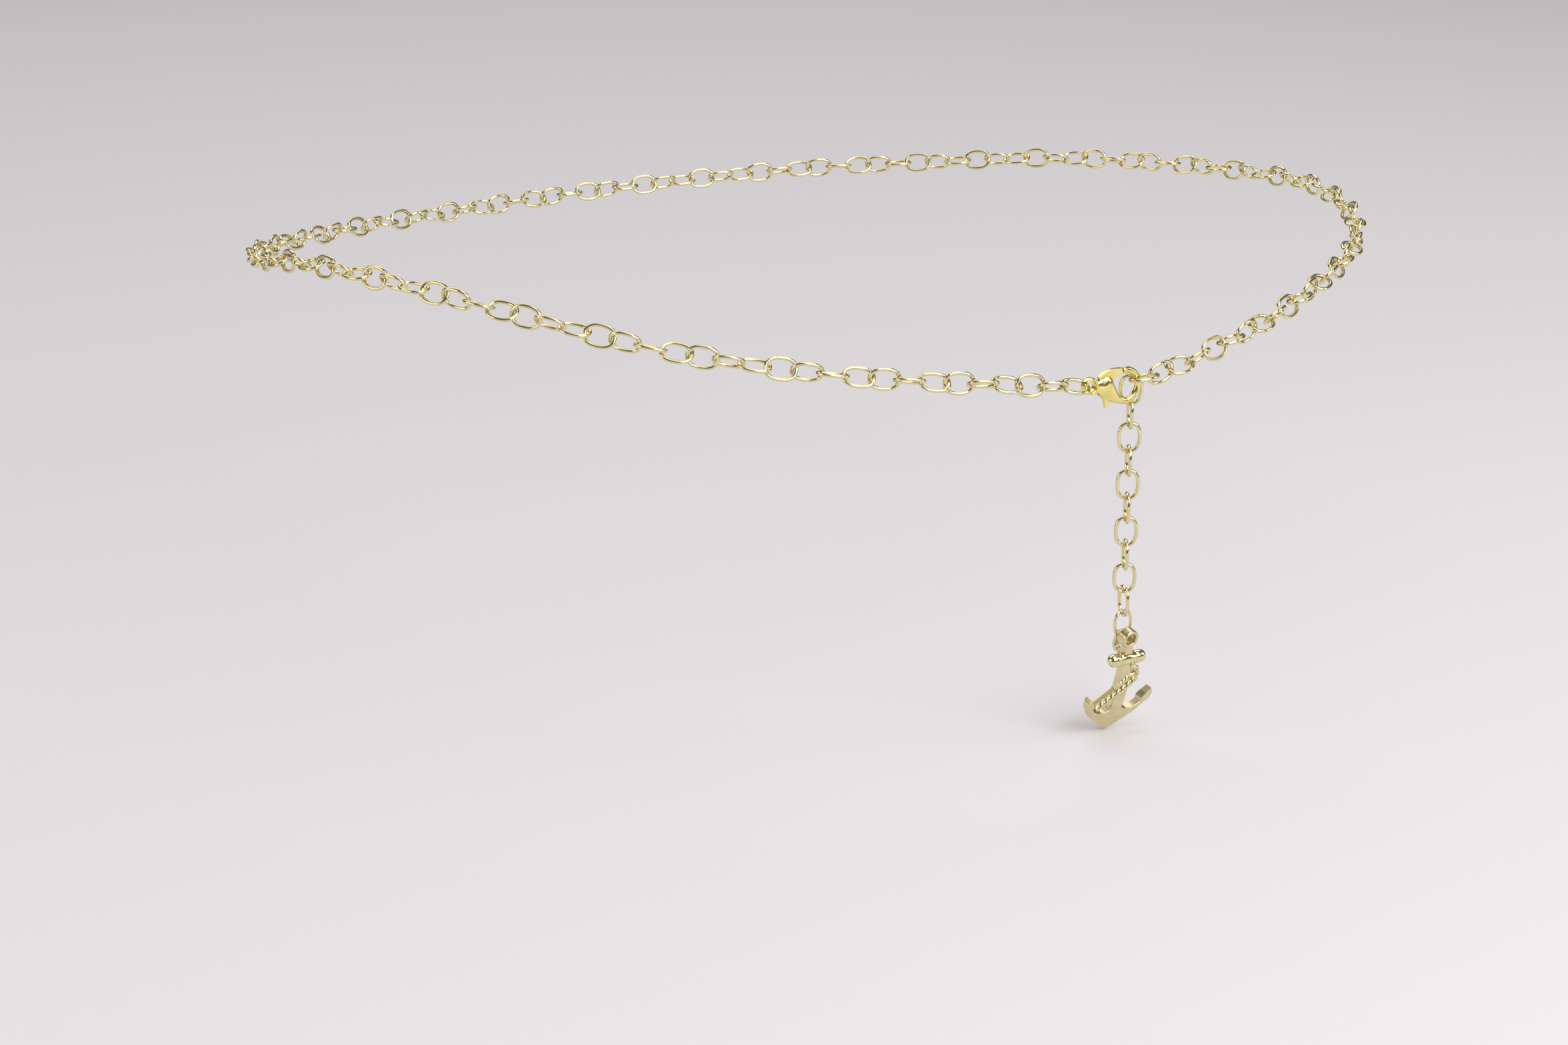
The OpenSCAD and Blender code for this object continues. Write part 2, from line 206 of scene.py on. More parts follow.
# Anchor in its own frame: X along the stock, Y to the back, Z up, the connector's wire at the origin
BAIL_FRONT_ROOM, BAIL_BACK_ROOM, EYE_UNDER_BAIL = 0.4, 0.5, 0.6
bail_rise = connector_bend - math.sqrt(connector_bend ** 2 - BAIL_WIDTH ** 2 / 4)
bail_top = CONNECTOR_WIRE / 2 + bail_rise + LINK_PLAY
bail_front = CONNECTOR_WIRE / 2 + BAIL_FRONT_ROOM
bail_back = CONNECTOR_WIRE / 2 + BAIL_BACK_ROOM
eye_back = -bail_front
eye_front = eye_back - ANCHOR_THICKNESS

# Heights on the anchor and the rope's far end, as shares of its height below the eye and of its width
STOCK_DOWN, ROPE_DOWN, ROPE_END_OUT = 0.2, 0.36, 0.33
ROPE_BEND, ROPE_SIDE, ROPE_TURN, ROPE_RISE, ROPE_WALL = 2.7, 0.9, 55, 85, 1.2
eye_height = bail_top + BAIL_STRIP - EYE_UNDER_BAIL
crown_height = eye_height - ANCHOR_HEIGHT
stock_height = eye_height - ANCHOR_HEIGHT * STOCK_DOWN
rope_height = eye_height - ANCHOR_HEIGHT * ROPE_DOWN
rope_run = (ROPE_SIDE + ROPE_BEND * cos(ROPE_TURN) + ANCHOR_WIDTH * ROPE_END_OUT) / sin(ROPE_TURN)

# The anchor hangs with its centre of weight, at these shares of its height and bow, under the wire
WEIGHT_DOWN, WEIGHT_IN_BOW = 0.52, 0.7
anchor_hang = math.degrees(math.atan2(ANCHOR_THICKNESS / 2 + ANCHOR_BOW * WEIGHT_IN_BOW - eye_back,
                                      ANCHOR_HEIGHT * WEIGHT_DOWN - eye_height))
connector_low_bend = connector_middle - Vector((0, 0, (CONNECTOR_LENGTH - CONNECTOR_WIDTH) / 2))
anchor_place = (Matrix.Translation(connector_low_bend) @ turned(0, ANCHOR_LEAN, connector_heading)
                @ Matrix.Translation((0, 0, -connector_bend)) @ turned(anchor_hang, 0, 0))

# Turns a drawing in X and Y, with its thickness in Z, upright: drawn Y becomes Z and the thickness -Y
UPRIGHT = Matrix.Rotation(math.radians(90), 4, "X")


# Solids as lists of vertices and faces
class Solids:
    """Closed shapes in one frame, gathered into one mesh."""

    def __init__(self):
        self.vertices, self.faces = [], []

    def add(self, vertices, faces, place=Matrix.Identity(4)):
        start = len(self.vertices)
        self.vertices += [place @ Vector(v) for v in vertices]
        self.faces += [[start + k for k in f] for f in faces]

    def add_mesh(self, mesh):
        self.add([v.co for v in mesh.vertices], [list(face.vertices) for face in mesh.polygons])

    def mesh(self, name):
        mesh = bpy.data.meshes.new(name)
        mesh.from_pydata(self.vertices, [], self.faces)
        mesh.validate()
        return mesh


def through(points, steps):
    """Points on a smooth curve through the given ones, both ends included."""
    points = [Vector(p) for p in points]
    padded = [2 * points[0] - points[1]] + points + [2 * points[-1] - points[-2]]
    curve = [smooth(*four, k / steps) for four in zip(padded, padded[1:], padded[2:], padded[3:])
             for k in range(steps)]
    return curve + [points[-1]]


def evenly(points, count, closed=True):
    """The same path with its points at even distances."""
    points = [Vector(p) for p in points]
    if closed:
        points = points + points[:1]
    marks = [0.0]
    for a, b in zip(points, points[1:]):
        marks.append(marks[-1] + (b - a).length)
    out, steps = [], count if closed else count - 1
    for k in range(count):
        s = marks[-1] * k / steps
        i = min(bisect.bisect_right(marks, s) - 1, len(points) - 2)
        share = (s - marks[i]) / (marks[i + 1] - marks[i])
        out.append(points[i].lerp(points[i + 1], min(share, 1)))
    return out


def skinned(rings, closed=False):
    """Faces that join rings of the same number of points, with flat ends if the row of rings is open."""
    count, sides = len(rings), len(rings[0])
    faces = []
    for k in range(count if closed else count - 1):
        here, there = k * sides, (k + 1) % count * sides
        for j in range(sides):
            beside = (j + 1) % sides
            faces.append([here + j, here + beside, there + beside, there + j])
    if not closed:
        faces += [list(range(sides))[::-1], list(range((count - 1) * sides, count * sides))]
    return [v for ring in rings for v in ring], faces


def sweep(path, section, closed=False):
    """Sweeps a closed section along a path drawn in X and Y.
    section(share) gives its (across, up) points at that share of the path."""
    path = [Vector(p[:2]).to_3d() for p in path]
    count = len(path)
    rings = []
    for k, p in enumerate(path):
        before, after = (path[k - 1], path[(k + 1) % count]) if closed else (
            path[max(k - 1, 0)], path[min(k + 1, count - 1)])
        forward = (after - before).normalized()
        across = Vector((forward.y, -forward.x, 0)).normalized()
        rings.append([p + Vector((0, 0, up)) + across * side
                      for side, up in section(k / (count if closed else count - 1))][::-1])
    return skinned(rings, closed)


def round_section(radius, sides):
    return [(radius * cos(360 * j / sides), radius * sin(360 * j / sides)) for j in range(sides)]


def plate(outline, low, high):
    """A prism of an outline drawn in X and Y, from low to high in Z."""
    return skinned([[(x, y, low) for x, y in outline], [(x, y, high) for x, y in outline]])


def lathe(profile, sides):
    """A solid of revolution about X from a profile of (x, radius) points."""
    return skinned([[(x, y, z) for y, z in round_section(radius, sides)] for x, radius in profile])


def arc(middle, radius, start, end, count):
    turns = [start + (end - start) * k / (count - 1) for k in range(count)]
    return [(middle[0] + radius * cos(t), middle[1] + radius * sin(t)) for t in turns]


def worked(mesh, *steps):
    """Runs modifiers on a mesh and returns the result. Each step is (kind, {setting: value})."""
    obj = bpy.data.objects.new("on_the_bench", mesh)
    bpy.context.scene.collection.objects.link(obj)
    for kind, settings in steps:
        modifier = obj.modifiers.new(kind.lower(), kind)
        for setting, value in settings.items():
            setattr(modifier, setting, value)
    bpy.context.view_layer.update()
    made = bpy.data.meshes.new_from_object(obj.evaluated_get(bpy.context.evaluated_depsgraph_get()))
    bpy.data.objects.remove(obj)
    return made


def cast(solids, name, voxel, smoothing):
    """One cast skin over shapes that run into each other, with the soft edges that plating leaves."""
    return worked(solids.mesh(name), ("REMESH", {"mode": "VOXEL", "voxel_size": voxel}),
                  ("SMOOTH", {"factor": 0.5, "iterations": smoothing}))


def piece(name, mesh, place, material, body, replaces=(), crease=None):
    """Places a mesh drawn in millimetres and hangs it on its body.
    Edges over the crease angle stay sharp."""
    mesh.transform(Matrix.Scale(MM, 4) @ place)
    mesh.update()
    mesh.shade_smooth()
    if crease:
        mesh.set_sharp_from_angle(angle=math.radians(crease))
    mesh.materials.clear()
    mesh.materials.append(material)
    obj = bpy.data.objects.new(name, mesh)
    bpy.context.scene.collection.objects.link(obj)
    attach(obj, body)
    if replaces:
        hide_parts(*replaces)


# Finishes
CLOUDS_PER_METRE, MARKS_PER_METRE = 400, 2500


def make_plating_group():
    """Faint cloudiness, hairline marks and handling marks in a polished plated surface."""
    group = bpy.data.node_groups.new("plated surface", "ShaderNodeTree")
    for name, kind, value in (("Bright tone", "NodeSocketColor", (1, 1, 1, 1)),
                              ("Deep tone", "NodeSocketColor", (1, 1, 1, 1)),
                              ("Polished roughness", "NodeSocketFloat", 0.1),
                              ("Handled roughness", "NodeSocketFloat", 0.25)):
        group.interface.new_socket(name, in_out="INPUT", socket_type=kind).default_value = value
    for name, kind in (("Color", "NodeSocketColor"), ("Roughness", "NodeSocketFloat"),
                       ("Height", "NodeSocketFloat")):
        group.interface.new_socket(name, in_out="OUTPUT", socket_type=kind)
    nodes, wire = group.nodes, group.links.new
    given, out = nodes.new("NodeGroupInput"), nodes.new("NodeGroupOutput")
    place = nodes.new("ShaderNodeTexCoord")
    cloud, marks = nodes.new("ShaderNodeTexNoise"), nodes.new("ShaderNodeTexNoise")
    cloud.inputs["Detail"].default_value = 3
    marks.inputs["Detail"].default_value = 5
    marks.inputs["Roughness"].default_value = 0.65
    for noise, per_metre in ((cloud, CLOUDS_PER_METRE), (marks, MARKS_PER_METRE)):
        wire(place.outputs["Object"], noise.inputs["Vector"])
        noise.inputs["Scale"].default_value = per_metre
    tone = nodes.new("ShaderNodeMix")
    tone.data_type = "RGBA"
    spread = nodes.new("ShaderNodeMapRange")
    spread.inputs["From Min"].default_value, spread.inputs["From Max"].default_value = 0.35, 0.65
    wire(cloud.outputs["Fac"], spread.inputs["Value"])
    wire(spread.outputs["Result"], tone.inputs["Factor"])
    wire(given.outputs["Bright tone"], tone.inputs["A"])
    wire(given.outputs["Deep tone"], tone.inputs["B"])
    rough = nodes.new("ShaderNodeMix")
    wire(marks.outputs["Fac"], rough.inputs["Factor"])
    wire(given.outputs["Polished roughness"], rough.inputs["A"])
    wire(given.outputs["Handled roughness"], rough.inputs["B"])
    wire(tone.outputs["Result"], out.inputs["Color"])
    wire(rough.outputs["Result"], out.inputs["Roughness"])
    wire(marks.outputs["Fac"], out.inputs["Height"])
    return group


plating = make_plating_group()


def gold(name, bright, deep, polished, handled, bump=0.02):
    """Plated metal between two tones and two roughnesses, with marks as high as the bump says."""
    material = bpy.data.materials.new(name)
    material.use_nodes = True
    nodes, wire = material.node_tree.nodes, material.node_tree.links.new
    shader = nodes["Principled BSDF"]
    shader.inputs["Metallic"].default_value = 1
    surface = nodes.new("ShaderNodeGroup")
    surface.node_tree = plating
    for socket, value in (("Bright tone", (*bright, 1)), ("Deep tone", (*deep, 1)),
                          ("Polished roughness", polished), ("Handled roughness", handled)):
        surface.inputs[socket].default_value = value
    lift = nodes.new("ShaderNodeBump")
    lift.inputs["Strength"].default_value = bump
    lift.inputs["Distance"].default_value = 0.00005
    wire(surface.outputs["Color"], shader.inputs["Base Color"])
    wire(surface.outputs["Roughness"], shader.inputs["Roughness"])
    wire(surface.outputs["Height"], lift.inputs["Height"])
    wire(lift.outputs["Normal"], shader.inputs["Normal"])
    material.diffuse_color = (*bright, 1)
    return material


chain_gold = gold("champagne gold wire", (0.80, 0.73, 0.44), (0.74, 0.66, 0.37), 0.07, 0.17)
clasp_gold = gold("yellow gold clasp", (0.88, 0.77, 0.30), (0.82, 0.70, 0.23), 0.09, 0.20)
anchor_satin = gold("satin cast gold", (0.77, 0.69, 0.43), (0.71, 0.62, 0.36), 0.17, 0.32, bump=0.03)
anchor_bright = gold("polished cast gold", (0.82, 0.74, 0.44), (0.76, 0.67, 0.36), 0.07, 0.18, bump=0.03)


# Chain
OVAL_POWER = 2.4
LINK_SEGMENTS, WIRE_SIDES = 48, 14


def eased(value, power):
    """Turns a cosine or sine into that of a fuller oval."""
    return math.copysign(abs(value) ** (2 / power), value)


def oval_link(length, width, wire):
    half_length, half_width = (length - wire) / 2, (width - wire) / 2
    fine = [(half_length * eased(cos(t), OVAL_POWER), half_width * eased(sin(t), OVAL_POWER))
            for t in range(0, 360, 2)]
    ring = round_section(wire / 2, WIRE_SIDES)
    return sweep(evenly(fine, LINK_SEGMENTS), lambda share: ring, closed=True)


def make_links(name, places, size, replaces):
    link = oval_link(*size)
    solids = Solids()
    for place in places:
        solids.add(*link, place)
    piece(name, solids.mesh(name), Matrix.Identity(4), chain_gold, "chain", [replaces])


belt_link_size = (LINK_LENGTH, LINK_WIDTH, LINK_WIRE)
make_links("belt_links_left", [belt_link_place(i) for i in range(half_links)], belt_link_size,
           "belt_left_run")
make_links("belt_links_right", [belt_link_place(i) for i in range(half_links, links)], belt_link_size,
           "belt_right_run")
make_links("tail_links", [tail_link_place(i) for i in range(TAIL_LINKS)],
           (TAIL_LINK_LENGTH, LINK_WIDTH, LINK_WIRE), "tail_chain")
make_links("connector", [hanging_place(connector_middle, connector_heading)],
           (CONNECTOR_LENGTH, CONNECTOR_WIDTH, CONNECTOR_WIRE), "connector_link")


# Clasp, drawn with X to the hook and Y up, the eye's link wire at the origin
EYE_RIM, EYE_DEPTH = 0.9, 2.3
BELLY_RADIUS, BELLY_FROM_HOOK, BELLY_BELOW_HOOK = 2.6, 0.57, 1.28
BOSS_RADIUS, BOSS_ROOM, PIN_HEIGHT = 0.95, 0.45, 0.9
SLOT_FROM_EYE, SLOT_PAST_BELLY, SLOT_FLOOR, SLOT_RUN = 0.85, 0.45, -0.6, 1.8
TAB_FROM_PIN, TAB_BELOW_BELLY = 1.65, 1.25
PAST_THE_CLASP = 10
clasp_on_chain = clasp_place @ UPRIGHT
eye_x = EYE_HOLE / 2 - LINK_WIRE / 2 - LINK_PLAY
hook_room = HOOK_RADIUS - HOOK_WIRE / 2
hook = Vector((reach + LINK_WIRE / 2 + LINK_PLAY - math.sqrt(hook_room ** 2 - HOOK_DROP ** 2), -HOOK_DROP))
eye_side = eye_x + EYE_HOLE / 2
belly = Vector((hook.x - HOOK_RADIUS - BELLY_FROM_HOOK, hook.y - BELLY_BELOW_HOOK))
slot_left, slot_right = eye_side + SLOT_FROM_EYE, belly.x + SLOT_PAST_BELLY
pin = Vector((slot_left + BOSS_RADIUS + BOSS_ROOM, PIN_HEIGHT))
tab = Vector((pin.x + TAB_FROM_PIN, belly.y - BELLY_RADIUS - TAB_BELOW_BELLY))

# The cast body from the eye to the root of the hook.
# Columns: x and y of its upper edge, x and y of its lower edge, half its thickness
BODY_STATIONS = [(2.2, 0.8, 2.1, -1.1, 0.5), (2.75, 1.45, 2.3, -1.85, 0.8), (3.6, 1.88, 2.9, -2.5, 1.06),
                 (4.55, 2.28, 3.6, -3.1, 1.28), (5.5, 2.58, 4.4, -3.66, 1.5),
                 (6.45, 2.22, 5.1, -4.12, 1.42), (7.12, 1.5, 5.9, -4.45, 1.32),
                 (7.75, 0.2, 7.1, -4.72, 1.22), (8.4, -1.15, 8.2, -5.02, 1.12),
                 (9.15, -2.35, 9.15, -5.28, 1.04), (10.1, -3.32, 10.15, -5.52, 0.96)]
BODY_SIDES = 48

# The hook from its root to its nose, as turns about the hook's middle, and the nose's small chamfer
HOOK_FIRST_TURN, HOOK_STEP, NOSE_TURN = -80, 12, 102
NOSE_CHAMFER_TURN, NOSE_CHAMFER = 1.5, 0.1


def hook_station(turn, radius=HOOK_WIRE / 2):
    outward = Vector((cos(turn), sin(turn)))
    return (*(hook + (HOOK_RADIUS - radius) * outward), *(hook + (HOOK_RADIUS + radius) * outward), radius)


def make_clasp_body():
    """A cast drop that widens from the eye, thins into the hook and ends in a flat-cut nose."""
    hook_turns = range(HOOK_FIRST_TURN, NOSE_TURN - HOOK_STEP // 2, HOOK_STEP)
    stations = BODY_STATIONS + [hook_station(turn) for turn in hook_turns]
    stations += [hook_station(NOSE_TURN - NOSE_CHAMFER_TURN),
                 hook_station(NOSE_TURN, HOOK_WIRE / 2 - NOSE_CHAMFER)]
    rings = []
    for upper_x, upper_y, lower_x, lower_y, thickness in through(stations, 6):
        upper, lower = Vector((upper_x, upper_y)), Vector((lower_x, lower_y))
        middle, half = (upper + lower) / 2, (upper - lower) / 2
        rings.append([(*(middle + half * side), thickness * depth)
                      for side, depth in round_section(1, BODY_SIDES)])
    cast_body = Solids()
    cast_body.add(*skinned(rings))
    saw = Solids()
    saw.add(*plate([(slot_left, -PAST_THE_CLASP), (slot_right, -PAST_THE_CLASP), (slot_right, SLOT_FLOOR),
                    (slot_right + SLOT_RUN, SLOT_FLOOR), (slot_right + SLOT_RUN, PAST_THE_CLASP),
                    (slot_left, PAST_THE_CLASP)], -SLOT_WIDTH / 2, SLOT_WIDTH / 2))
    blade = bpy.data.objects.new("slot_saw", saw.mesh("slot_saw"))
    bpy.context.scene.collection.objects.link(blade)
    cut = {"object": blade, "operation": "DIFFERENCE", "solver": "EXACT"}
    sawn = worked(cast_body.mesh("clasp_shell"), ("BOOLEAN", cut))
    bpy.data.objects.remove(blade)
    body = Solids()
    body.add_mesh(sawn)
    eye_path = arc((eye_x, 0), (EYE_HOLE + EYE_RIM) / 2, 0, 354, 60)
    band = [(EYE_RIM / 2 * eased(cos(t), 3), EYE_DEPTH / 2 * eased(sin(t), 3)) for t in range(0, 360, 10)]
    body.add(*sweep(eye_path, lambda share: band, closed=True))
    return body.mesh("clasp_shell")


piece("clasp_shell", make_clasp_body(), clasp_on_chain, clasp_gold, "chain", ["clasp_body"],
      crease=38)

# The rivet's end from its middle to its side: distance from the end, radius
POINT_RADIUS = 0.001
RIVET_END = [(0, POINT_RADIUS), (0.02, 0.3), (0.1, PIN_DIAMETER / 2 - 0.03), (0.2, PIN_DIAMETER / 2)]
RIVET_SINK = 0.2
half_rivet = (CLASP_THICKNESS - RIVET_SINK) / 2
rivet_profile = [(-half_rivet + x, r) for x, r in RIVET_END]
rivet = Solids()
rivet.add(*lathe(rivet_profile + [(-x, r) for x, r in reversed(rivet_profile)], 32),
          Matrix.Translation((*pin, 0)) @ Matrix.Rotation(math.radians(90), 4, "Y"))
piece("clasp_rivet", rivet.mesh("clasp_rivet"), clasp_on_chain, clasp_gold, "chain")

# Outline of the lever: the smooth top of its arm and its heel, as steps from the pin,
# and its thumb tab as steps from the tab's end
ARM_TOP = [(3.4, 2.95), (1.5, 2.62), (0.1, 2.05), (-1.15, 1.15)]
ARM_HEEL = [(-1.2, 0.85), (-0.9, 0.3)]
ARM_UNDERSIDE, LEG_ROOT = (0.3, -0.75), [(0.7, -0.2), (-0.4, 0)]
TAB_OUTLINE = [(-0.7, 1.4), (-0.35, 0), (0.35, 0), (0.7, 1.1)]
TIP_TOP_SINK, TIP_LOW_LIFT, TIP_LOW_REACH = 0.08, 0.16, 0.1
LEVER_VOXEL, LEVER_SMOOTHING = 0.055, 5


def steps_from(start, steps):
    return [start + Vector(step) for step in steps]


def make_lever():
    """The trigger: a tapered arm that closes on the nose and a tab under the body."""
    across = Vector((cos(NOSE_TURN), sin(NOSE_TURN)))
    tip_top = hook + (HOOK_RADIUS + HOOK_WIRE / 2) * across - Vector((LEVER_GAP, TIP_TOP_SINK))
    tip_low = hook + hook_room * across - Vector((LEVER_GAP - TIP_LOW_REACH, -TIP_LOW_LIFT))
    half = SLOT_WIDTH / 2 - SLOT_CLEARANCE
    top = through([tip_top] + steps_from(pin, ARM_TOP), 5)
    arm = steps_from(pin, [ARM_UNDERSIDE]) + [tip_low] + top + steps_from(pin, ARM_HEEL)
    leg = steps_from(pin, LEG_ROOT) + steps_from(tab, TAB_OUTLINE)
    shapes = Solids()
    for outline in (arm, leg, arc(pin, BOSS_RADIUS, 0, 352.5, 48)):
        shapes.add(*plate(outline, -half, half))
    return cast(shapes, "clasp_lever", LEVER_VOXEL, LEVER_SMOOTHING)


piece("clasp_trigger", make_lever(), clasp_on_chain, clasp_gold, "lever", ["clasp_lever"])


# Anchor, drawn flat with its back at level 0 and then bent over the drum that its casting follows
bow_radius = (ANCHOR_HEIGHT ** 2 / 4 + ANCHOR_BOW ** 2) / (2 * ANCHOR_BOW)
bow_middle = Vector((eye_front - ANCHOR_BOW + bow_radius, eye_height - ANCHOR_HEIGHT / 2))
eye_level = -eye_back
anchor_on_chain = anchor_place @ UPRIGHT
SATIN_VOXEL = 0.11


def bent(vertices):
    """Lays a flat drawing, given with its thickness as Z, over the drum."""
    drum_radius = bow_radius - ANCHOR_THICKNESS
    return [(x, y, math.sqrt((drum_radius + z) ** 2 - (y - bow_middle.y) ** 2) - bow_middle.x)
            for x, y, z in vertices]


def mirrored(outline):
    return [(-x, y) for x, y in reversed(outline)]


# Half the outline of the arms, edge by edge, in shares of half the width and of the rise of the flukes
ARM_EDGES = [[(0, 0), (0.14, 0.085), (0.27, 0.19), (0.57, 0.37), (0.76, 0.54), (0.84, 0.64)],
             [(0.84, 0.64), (0.95, 0.7), (1, 0.86), (0.95, 1)],
             [(0.95, 1), (0.79, 0.86), (0.7, 0.74)], [(0.7, 0.74), (0.73, 0.68)],
             [(0.73, 0.68), (0.55, 0.575), (0.35, 0.54), (0.2, 0.6), (0, 0.7)]]
LEFT_NARROW_FROM, LEFT_FLUKE_SHARE = 0.7, 0.66

# The shank from the arms up to the eye. Columns: half width as a share of the shank's width, height
SHANK_STATIONS = [(0.62, crown_height + ARM_RISE * 0.56), (0.5, rope_height), (0.42, stock_height),
                  (0.36, eye_height - 1.9)]


def rope_path():
    """Middle of the rope on the anchor's face: round the side of the shank and down to the left arm."""
    bend = arc((ROPE_SIDE, rope_height), ROPE_BEND, ROPE_RISE, -ROPE_TURN, 40)
    end = Vector(bend[-1]) - rope_run * Vector((sin(ROPE_TURN), cos(ROPE_TURN)))
    return evenly(bend + [tuple(end)], 120, closed=False)


def make_anchor_flat():
    """The arms, the shank and the low wall under the rope, before they are bent."""
    right_arm = []
    for edge in ARM_EDGES:
        right_arm += [(p.x * ANCHOR_WIDTH / 2, crown_height + p.y * ARM_RISE)
                      for p in through(edge, 6)[:-1]]
    # The left fluke is a little narrower than the right one
    narrow_from = LEFT_NARROW_FROM * ANCHOR_WIDTH / 2
    left_arm = [(min(x, narrow_from) + LEFT_FLUKE_SHARE * max(x - narrow_from, 0), y)
                for x, y in right_arm[1:]]
    shank = [(SHANK_WIDTH * share, height) for share, height in SHANK_STATIONS]
    wall = [(-ROPE_WALL / 2, 0), (ROPE_WALL / 2, 0), (ROPE_WALL / 2, ANCHOR_THICKNESS),
            (-ROPE_WALL / 2, ANCHOR_THICKNESS)]
    flat = Solids()
    flat.add(*plate(right_arm + mirrored(left_arm), 0, ANCHOR_THICKNESS))
    flat.add(*plate(shank + mirrored(shank), 0, ANCHOR_THICKNESS))
    flat.add(*sweep(rope_path(), lambda share: wall))
    return cast(flat, "anchor_flat", SATIN_VOXEL, 2)


def add_eye(shapes):
    """The eye and its raised front rim."""
    path = arc((0, eye_height), (ANCHOR_EYE + ANCHOR_EYE_HOLE) / 4, 0, 354, 60)
    half_ring = (ANCHOR_EYE - ANCHOR_EYE_HOLE) / 4
    front = eye_level + ANCHOR_THICKNESS
    ring = [(-half_ring, eye_level), (half_ring, eye_level), (half_ring, front), (-half_ring, front)]
    rim = [(side, front + up) for side, up in round_section(half_ring, 20)]
    for section in (ring, rim):
        shapes.add(*sweep(path, lambda share: section, closed=True))


BAIL_IN_EYE, BAIL_LOW_BEND, BAIL_TOP_BEND, BAIL_LOW_RUN, BAIL_TOP_RUN = 0.5, 1.2, 0.7, 1.3, 0.4


def add_bail(shapes):
    """The D-shaped strip behind the eye, drawn from the side and turned across."""
    front, back = eye_level + BAIL_IN_EYE, -bail_back - BAIL_STRIP / 2
    top, low = bail_top + BAIL_STRIP / 2, bail_top + BAIL_STRIP * 1.5 - BAIL_HEIGHT
    low_bend = arc((back + BAIL_LOW_BEND, low + BAIL_LOW_BEND), BAIL_LOW_BEND, 260, 190, 8)
    top_bend = arc((back + BAIL_TOP_BEND, top - BAIL_TOP_BEND), BAIL_TOP_BEND, 180, 95, 8)
    path = ([(front, low), (back + BAIL_LOW_RUN, low)] + low_bend + top_bend
            + [(BAIL_TOP_RUN, top), (front, top)])
    half, strip = BAIL_WIDTH / 2, BAIL_STRIP / 2
    section = [(-strip, -half), (strip, -half), (strip, half), (-strip, half)]
    shapes.add(*sweep(evenly(path, 40, closed=False), lambda share: section),
               Matrix.Rotation(math.radians(-90), 4, "Y"))


def make_anchor_body():
    flat = make_anchor_flat()
    shapes = Solids()
    shapes.add(bent([v.co for v in flat.vertices]), [list(face.vertices) for face in flat.polygons])
    add_eye(shapes)
    add_bail(shapes)
    return cast(shapes, "anchor_casting", SATIN_VOXEL, 3)


piece("anchor_casting", make_anchor_body(), anchor_on_chain, anchor_satin, "charm",
      ["anchor"])

# The stock's groove and the edge of the collar over its middle: place along it, depth under its surface
STOCK_GROOVE = [(-3.1, 0.04), (-2.8, 0.12), (-2.6, 0.3), (-2.4, 0.3), (-2.25, 0.16), (-2.03, 0.1)]
STOCK_FORWARD = 0.2
end_radius = STOCK_END / 2
stock_profile = [(-STOCK_LENGTH / 2 + end_radius - end_radius * cos(t),
                  max(end_radius * sin(t), POINT_RADIUS)) for t in range(0, 91, 9)]
stock_profile += [(x, end_radius - depth) for x, depth in STOCK_GROOVE]
stock_profile += [(-x, r) for x, r in reversed(stock_profile)]
stock = Solids()
stock.add(*lathe(stock_profile, 64),
          Matrix.Translation((0, stock_height, -eye_front + ANCHOR_BOW * STOCK_FORWARD)))
piece("anchor_stock", stock.mesh("anchor_stock"), anchor_on_chain, anchor_bright, "charm",
      crease=50)

# Rope: three strands, and a thinner one that crosses the shank at these steps from the eye
STRANDS, STRAND_SHARE, ROPE_SECTION_SIDES = 3, 0.53, 36
ROPE_PITCH, ROPE_SWELL, ROPE_SINK = 5.4, 0.06, 0.2
CROSSING_RADIUS, CROSSING_PITCH, CROSSING_LIFT = 0.62, 3.6, 0.1
CROSSING = [(2.9, -9.6), (1.6, -10.0), (0.2, -10.8), (-1.1, -11.8), (-1.9, -12.7)]


def twisted(path, radius, pitch, level):
    """Strands laid round each other, as a lobed section that turns along the path."""
    strand, middle = radius * STRAND_SHARE, radius * (1 - STRAND_SHARE)
    length = sum((b - a).length for a, b in zip(path, path[1:]))

    def section(share):
        turn = 360 * share * length / pitch
        ring = []
        for j in range(ROPE_SECTION_SIDES):
            around = 360 * j / ROPE_SECTION_SIDES
            off = (around - turn + 180 / STRANDS) % (360 / STRANDS) - 180 / STRANDS
            r = middle * cos(off) + math.sqrt(max(strand ** 2 - (middle * sin(off)) ** 2, 0))
            ring.append((r * cos(around), level + r * sin(around)))
        return ring

    vertices, faces = sweep(path, section)
    return bent(vertices), faces


rope_level = ANCHOR_THICKNESS - ROPE_SINK
rope = Solids()
rope.add(*twisted(rope_path(), ROPE_DIAMETER / 2 + ROPE_SWELL, ROPE_PITCH, rope_level))
crossing_path = evenly(through([(x, eye_height + y) for x, y in CROSSING], 6), 40, closed=False)
rope.add(*twisted(crossing_path, CROSSING_RADIUS, CROSSING_PITCH, rope_level + CROSSING_LIFT))
piece("anchor_rope", rope.mesh("anchor_rope"), anchor_on_chain, anchor_bright, "charm")


# Studio and camera, in metres
FLOOR_HALF, FLOOR_BELOW, PAPER_ROUGHNESS = 4, 0.0005, 0.9
PAPER_TONE = (0.77, 0.76, 0.80, 1)
AIR_TONE, AIR_STRENGTH = (0.97, 0.97, 1, 1), 0.15
LIGHTS_AIM = Vector((0, -0.1, 0))
CAMERA_PLACE, CAMERA_LOOKS = (-0.28635, -0.80668, 0.1959), Vector((0.30897, 0.89947, -0.30902))


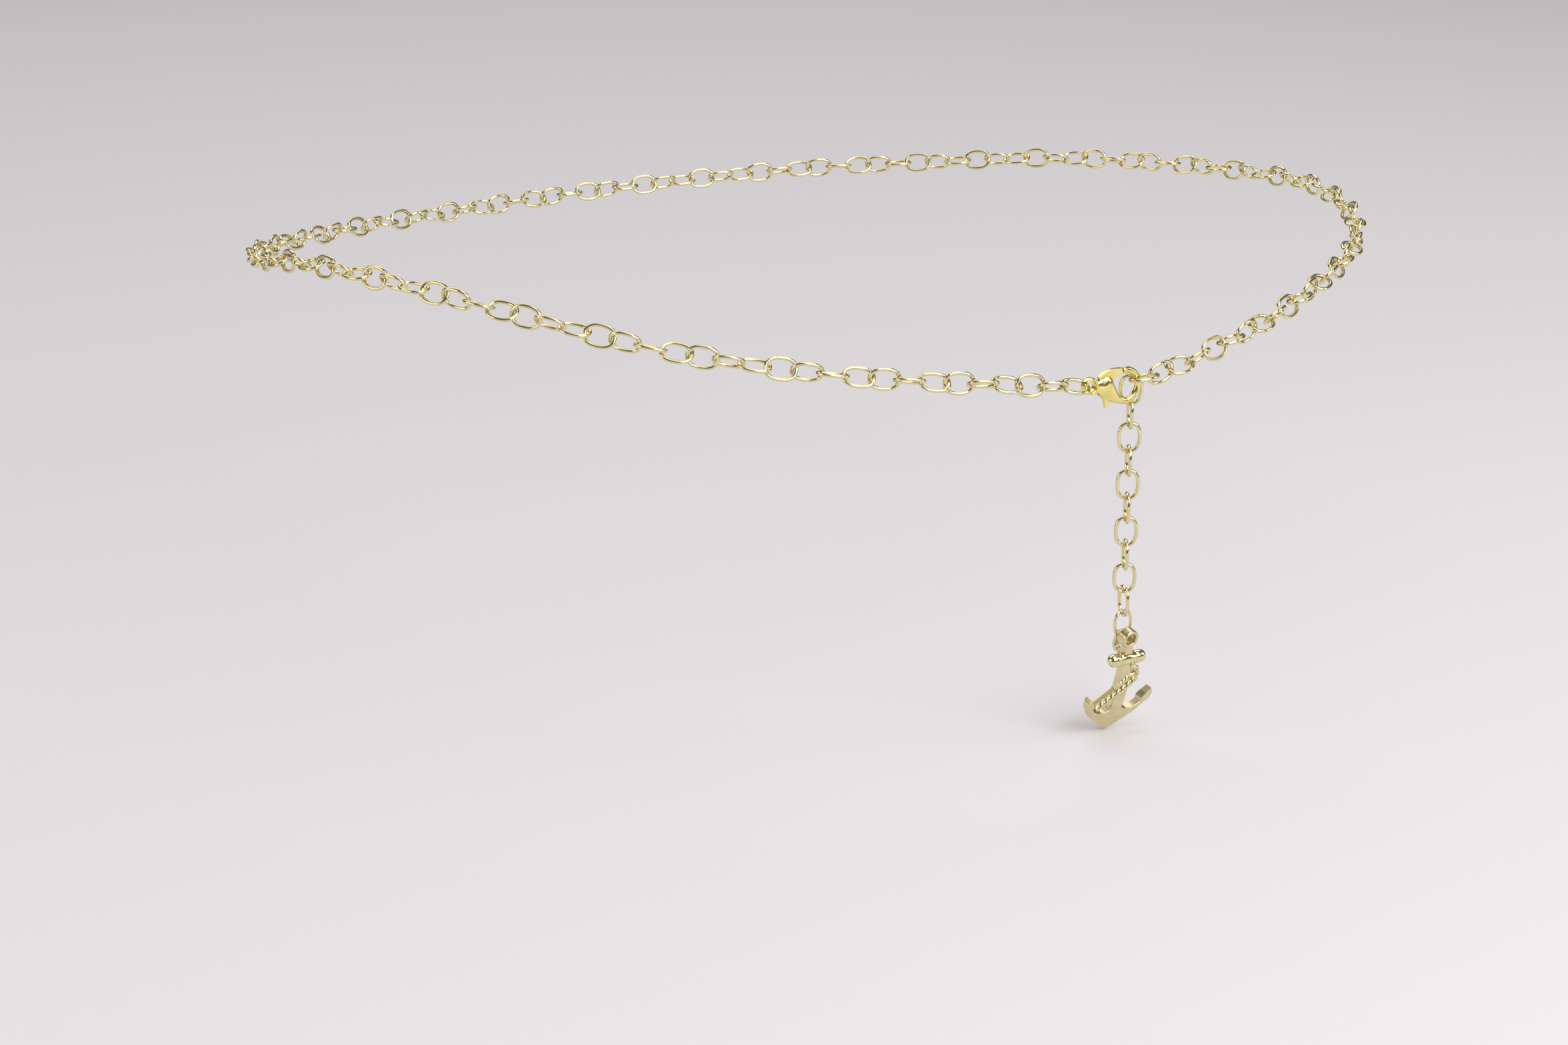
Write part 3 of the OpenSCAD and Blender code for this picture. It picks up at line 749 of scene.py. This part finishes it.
def area_light(name, place, size, power, colour):
    light = bpy.data.lights.new(name, "AREA")
    light.shape, light.size, light.size_y = "RECTANGLE", size[0], size[1]
    light.energy, light.color = power, colour
    obj = bpy.data.objects.new(name, light)
    obj.location = place
    obj.rotation_euler = (LIGHTS_AIM - Vector(place)).to_track_quat("-Z", "Y").to_euler()
    bpy.context.scene.collection.objects.link(obj)


low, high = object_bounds()
floor_height = low.z - FLOOR_BELOW
floor_mesh = bpy.data.meshes.new("studio_floor")
floor_corners = [(x * FLOOR_HALF, y * FLOOR_HALF, floor_height)
                 for x, y in ((-1, -1), (1, -1), (1, 1), (-1, 1))]
floor_mesh.from_pydata(floor_corners, [], [(0, 1, 2, 3)])
floor = bpy.data.objects.new("studio_floor", floor_mesh)
bpy.context.scene.collection.objects.link(floor)
paper = bpy.data.materials.new("pale studio paper")
paper.use_nodes = True
paper.node_tree.nodes["Principled BSDF"].inputs["Base Color"].default_value = PAPER_TONE
paper.node_tree.nodes["Principled BSDF"].inputs["Roughness"].default_value = PAPER_ROUGHNESS
floor_mesh.materials.append(paper)
floor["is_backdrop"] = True

area_light("softbox_front", (0.42, -1.2, 0.72), (1.4, 0.6), 14, (1, 0.99, 0.98))
area_light("softbox_overhead", (0.2, -0.6, 1.55), (1.5, 1.2), 9, (1, 0.99, 0.98))
area_light("panel_behind", (0.0, 1.25, 1.45), (2.6, 1.5), 17, (1, 0.94, 0.88))
area_light("panel_left", (-1.35, -0.15, 0.35), (0.9, 0.7), 4.5, (1, 0.84, 0.68))
area_light("panel_right", (1.3, -0.5, 0.5), (0.35, 0.9), 2.4, (1, 0.98, 0.96))

world = bpy.data.worlds.new("studio_air")
world.use_nodes = True
world.node_tree.nodes["Background"].inputs["Color"].default_value = AIR_TONE
world.node_tree.nodes["Background"].inputs["Strength"].default_value = AIR_STRENGTH
bpy.context.scene.world = world
bpy.context.scene.view_settings.view_transform = "Standard"

camera_data = bpy.data.cameras.new("photo_camera")
camera_data.sensor_width, camera_data.lens = 36, 71.84
camera_data.clip_start, camera_data.clip_end = 0.05, 50
camera = bpy.data.objects.new("photo_camera", camera_data)
camera.location = CAMERA_PLACE
camera.rotation_euler = CAMERA_LOOKS.to_track_quat("-Z", "Y").to_euler()
bpy.context.scene.collection.objects.link(camera)
bpy.context.scene.camera = camera

low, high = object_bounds()
